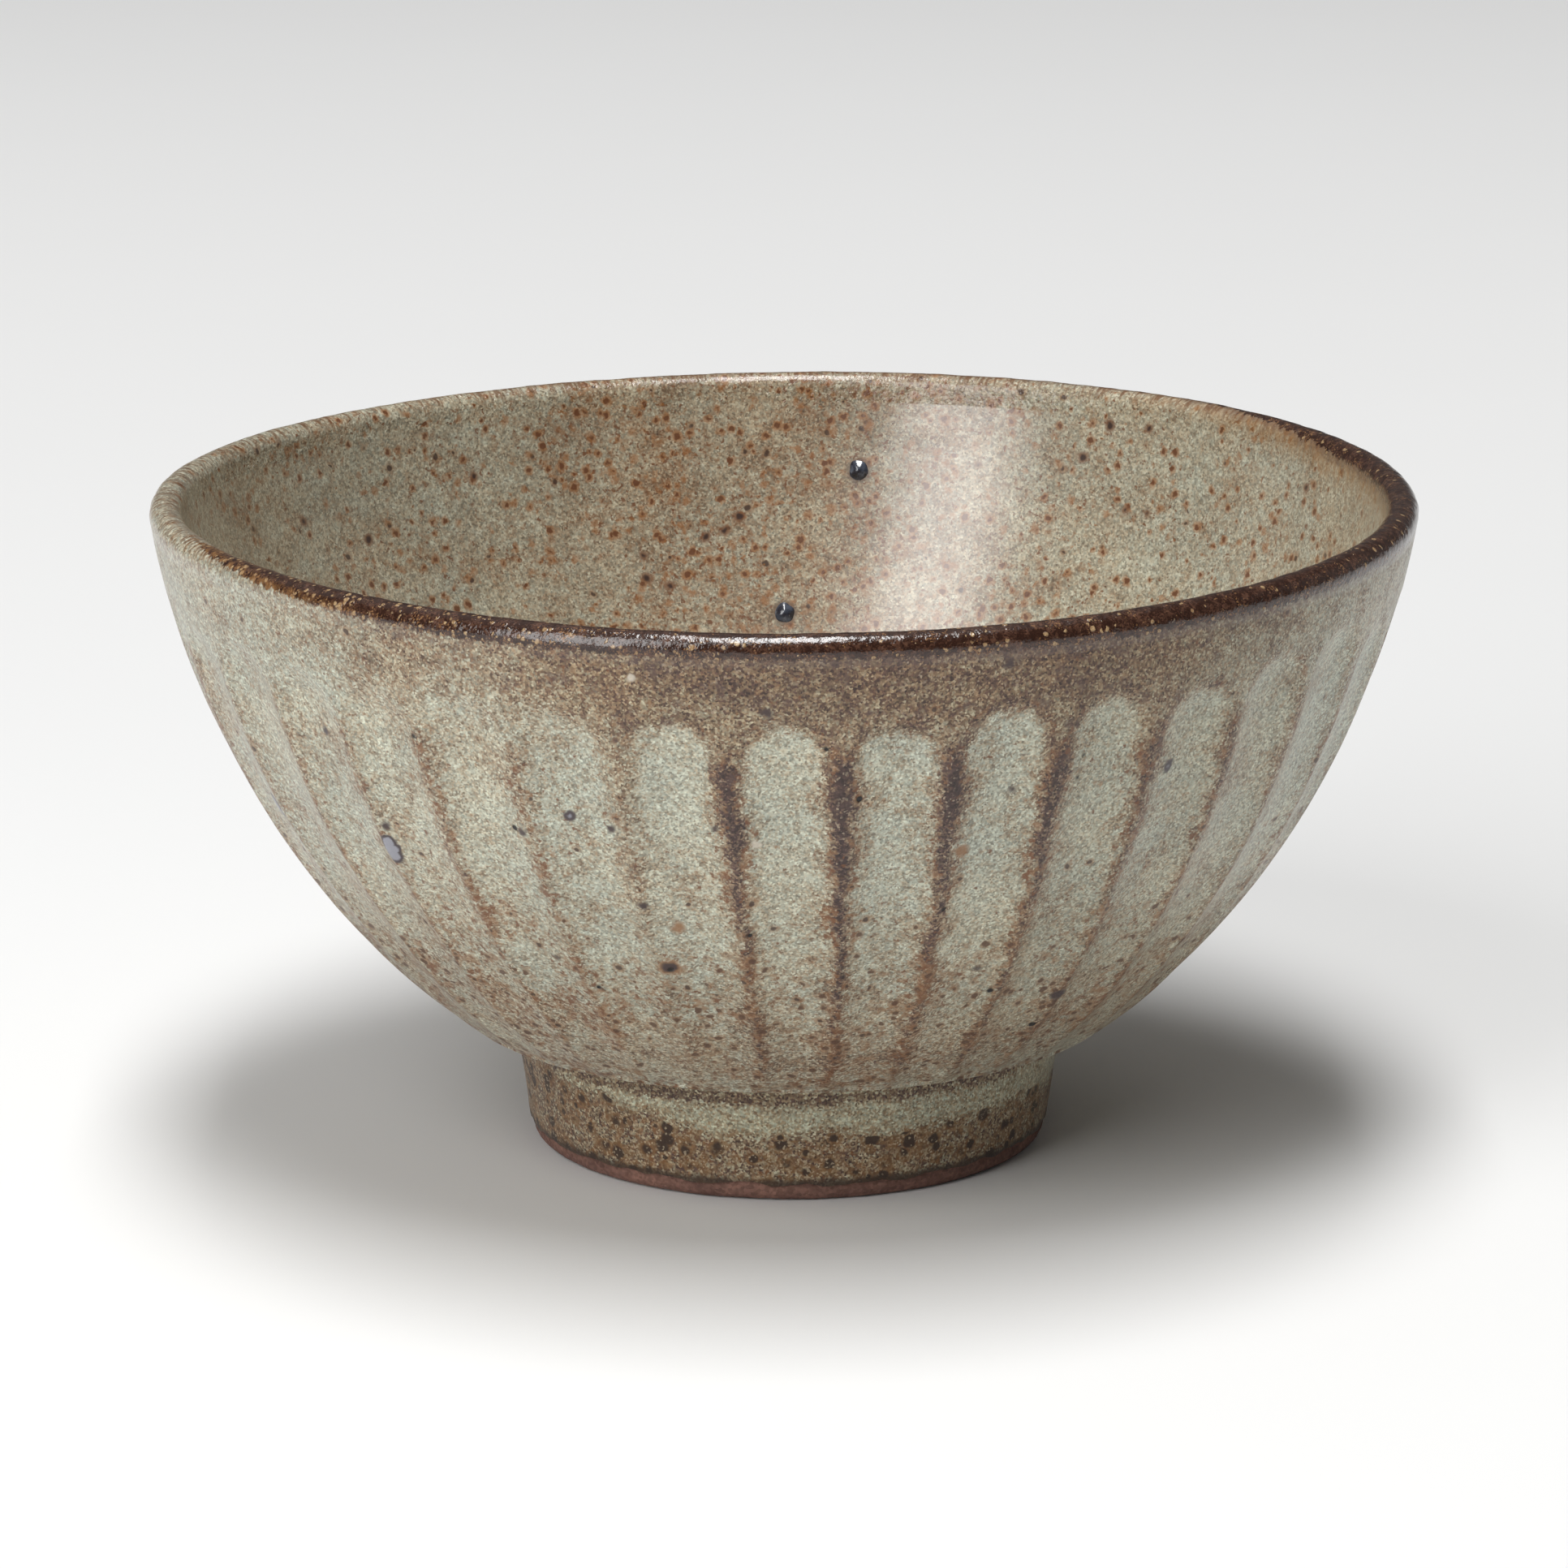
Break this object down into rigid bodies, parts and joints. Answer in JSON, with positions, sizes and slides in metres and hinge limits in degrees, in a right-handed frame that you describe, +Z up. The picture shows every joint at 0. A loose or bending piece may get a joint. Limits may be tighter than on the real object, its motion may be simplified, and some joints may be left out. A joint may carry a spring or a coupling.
{
  "type": "matcha bowl",
  "caption": "Wheel-thrown stoneware matcha bowl with carved vertical flutes, speckled ash glaze, an iron-brown lip and a turned foot ring with a bare clay edge.",
  "frame": {"origin": "centre of the foot ring's contact plane, where the bowl stands", "axes": "+Z up along the bowl's axis of symmetry; the front of the bowl faces -Y"},
  "size_m": [0.12, 0.12, 0.063],
  "materials": {
    "stoneware_clay": "bare fired reddish-brown stoneware, matt and finely gritty",
    "ash_glaze_outside": "satin grey-green ash glaze, pooled pale in the flutes, broken to dark iron brown on their ridges, with rust speckles",
    "ash_glaze_inside": "satin grey-green to tan ash glaze with many rust-brown speckles",
    "iron_glaze": "glossy dark iron-brown lip with tan flecks and a ragged lower edge",
    "ash_glaze_foot": "satin ash glaze, pale where it pooled in the cove, thin and speckled brown below",
    "melted_iron": "glossy blue-black beads of melted iron"
  },
  "bodies": {
    "root": {"clay_body": "stoneware_clay", "foot_ring": "stoneware_clay", "wall_glaze": "ash_glaze_outside", "inner_glaze": "ash_glaze_inside", "rim_iron_band": "iron_glaze", "foot_glaze": "ash_glaze_foot", "foot_well_glaze": "ash_glaze_foot", "iron_spots": "melted_iron"}
  },
  "joints": []
}
